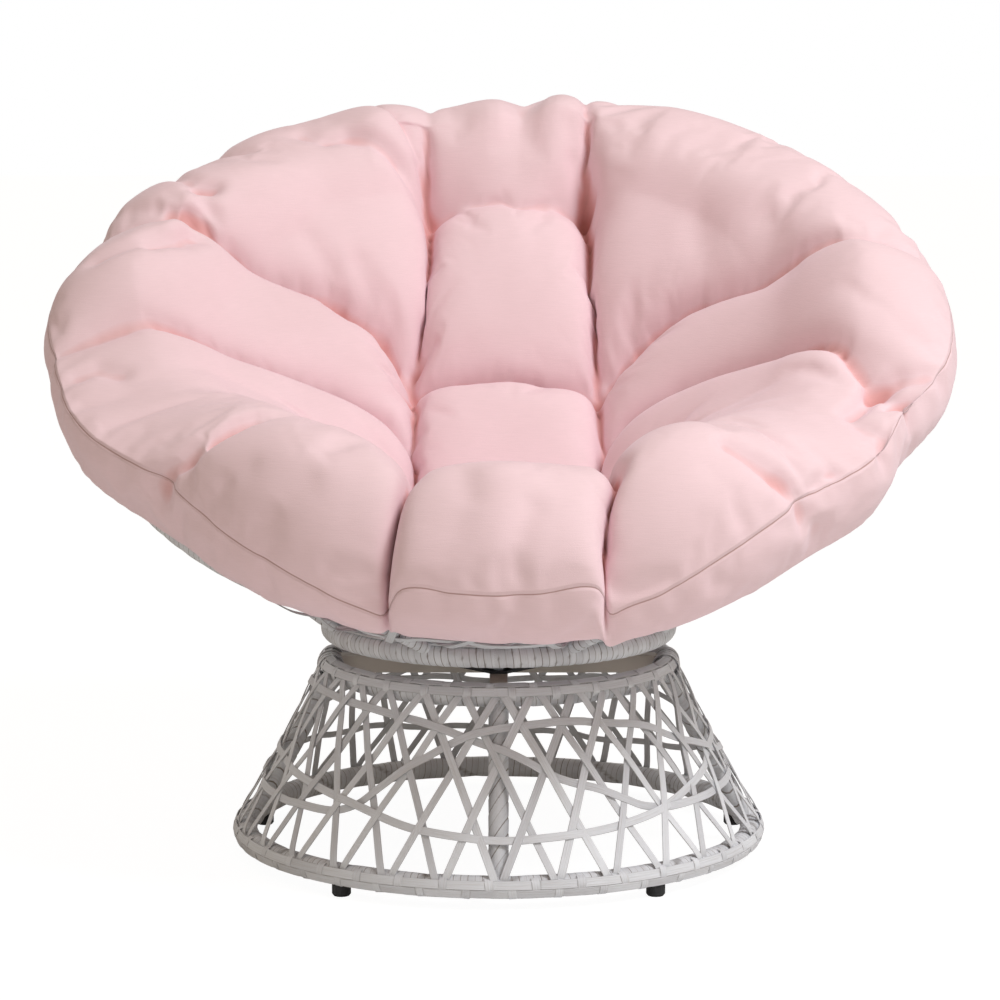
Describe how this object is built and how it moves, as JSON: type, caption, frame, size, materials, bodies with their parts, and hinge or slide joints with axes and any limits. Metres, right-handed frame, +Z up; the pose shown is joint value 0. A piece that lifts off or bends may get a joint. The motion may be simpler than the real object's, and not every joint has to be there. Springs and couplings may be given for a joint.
{
  "type": "papasan chair",
  "caption": "Round papasan armchair: a thick tufted cushion lies in a tilted woven bowl that swivels on a woven cone base with small feet.",
  "frame": {"origin": "on the floor, under the middle of the chair's bounding box", "axes": "+Z up; the sitter faces -Y; +X to the right as seen from the front"},
  "size_m": [1.0048, 0.9056, 0.8016],
  "materials": {
    "wicker": "flat resin strip and wrapped tube, warm grey white, satin",
    "powder_coat": "cream powder coat on square tube",
    "black_steel": "black painted pressed steel",
    "zinc_steel": "zinc plated",
    "black_rubber": "moulded",
    "pink_cloth": "plain woven cloth over soft fill"
  },
  "bodies": {
    "base": {"base_bottom_ring": "wicker", "base_top_ring": "wicker", "base_post_front": "wicker", "base_post_right": "wicker", "base_post_rear": "wicker", "base_post_left": "wicker", "foot_front_right": "black_rubber", "foot_side_right": "black_rubber", "foot_rear": "black_rubber", "foot_side_left": "black_rubber", "foot_front_left": "black_rubber", "base_bar_across": "powder_coat", "base_bar_front": "powder_coat", "base_bar_rear": "powder_coat", "base_weave_inner": "wicker", "base_weave_outer": "wicker", "base_hoop_high": "wicker", "base_hoop_crossing": "wicker", "base_hoop_low": "wicker", "swivel_lower_plate": "black_steel", "lower_bolt_front": "zinc_steel", "lower_bolt_right": "zinc_steel", "lower_bolt_rear": "zinc_steel", "lower_bolt_left": "zinc_steel"},
    "ball_cage": {"swivel_ball_cage": "zinc_steel"},
    "bowl": {"swivel_upper_plate": "black_steel", "upper_bolt_front": "zinc_steel", "upper_bolt_right": "zinc_steel", "upper_bolt_rear": "zinc_steel", "upper_bolt_left": "zinc_steel", "bowl_bar_across": "powder_coat", "bowl_bar_front": "powder_coat", "bowl_bar_rear": "powder_coat", "bowl_bottom_ring": "wicker", "bowl_rim": "wicker", "bowl_rib_1": "wicker", "bowl_rib_2": "wicker", "bowl_rib_3": "wicker", "bowl_rib_4": "wicker", "bowl_rib_5": "wicker", "bowl_rib_6": "wicker", "bowl_rib_7": "wicker", "bowl_rib_8": "wicker", "bowl_weave_inner": "wicker", "bowl_weave_outer": "wicker", "bowl_hoop_lower": "wicker", "bowl_hoop_upper": "wicker"},
    "cushion": {"cushion": "pink_cloth"}
  },
  "joints": [
    {"name": "swivel", "type": "hinge", "parent": "base", "child": "bowl", "pos_m": [0, -0.06913, 0.2238], "axis": [0, 0, 1], "continuous": true},
    {"name": "cage_roll", "type": "hinge", "parent": "base", "child": "ball_cage", "pos_m": [0, -0.06913, 0.2238], "axis": [0, 0, 1], "continuous": true},
    {"name": "cushion_lift", "type": "slide", "parent": "bowl", "child": "cushion", "axis": [0, -0.4695, 0.8829], "range_m": [0, 0.6]}
  ],
  "couplings": [
    {"joint": "cage_roll", "follows": "swivel", "ratio": 0.5}
  ]
}
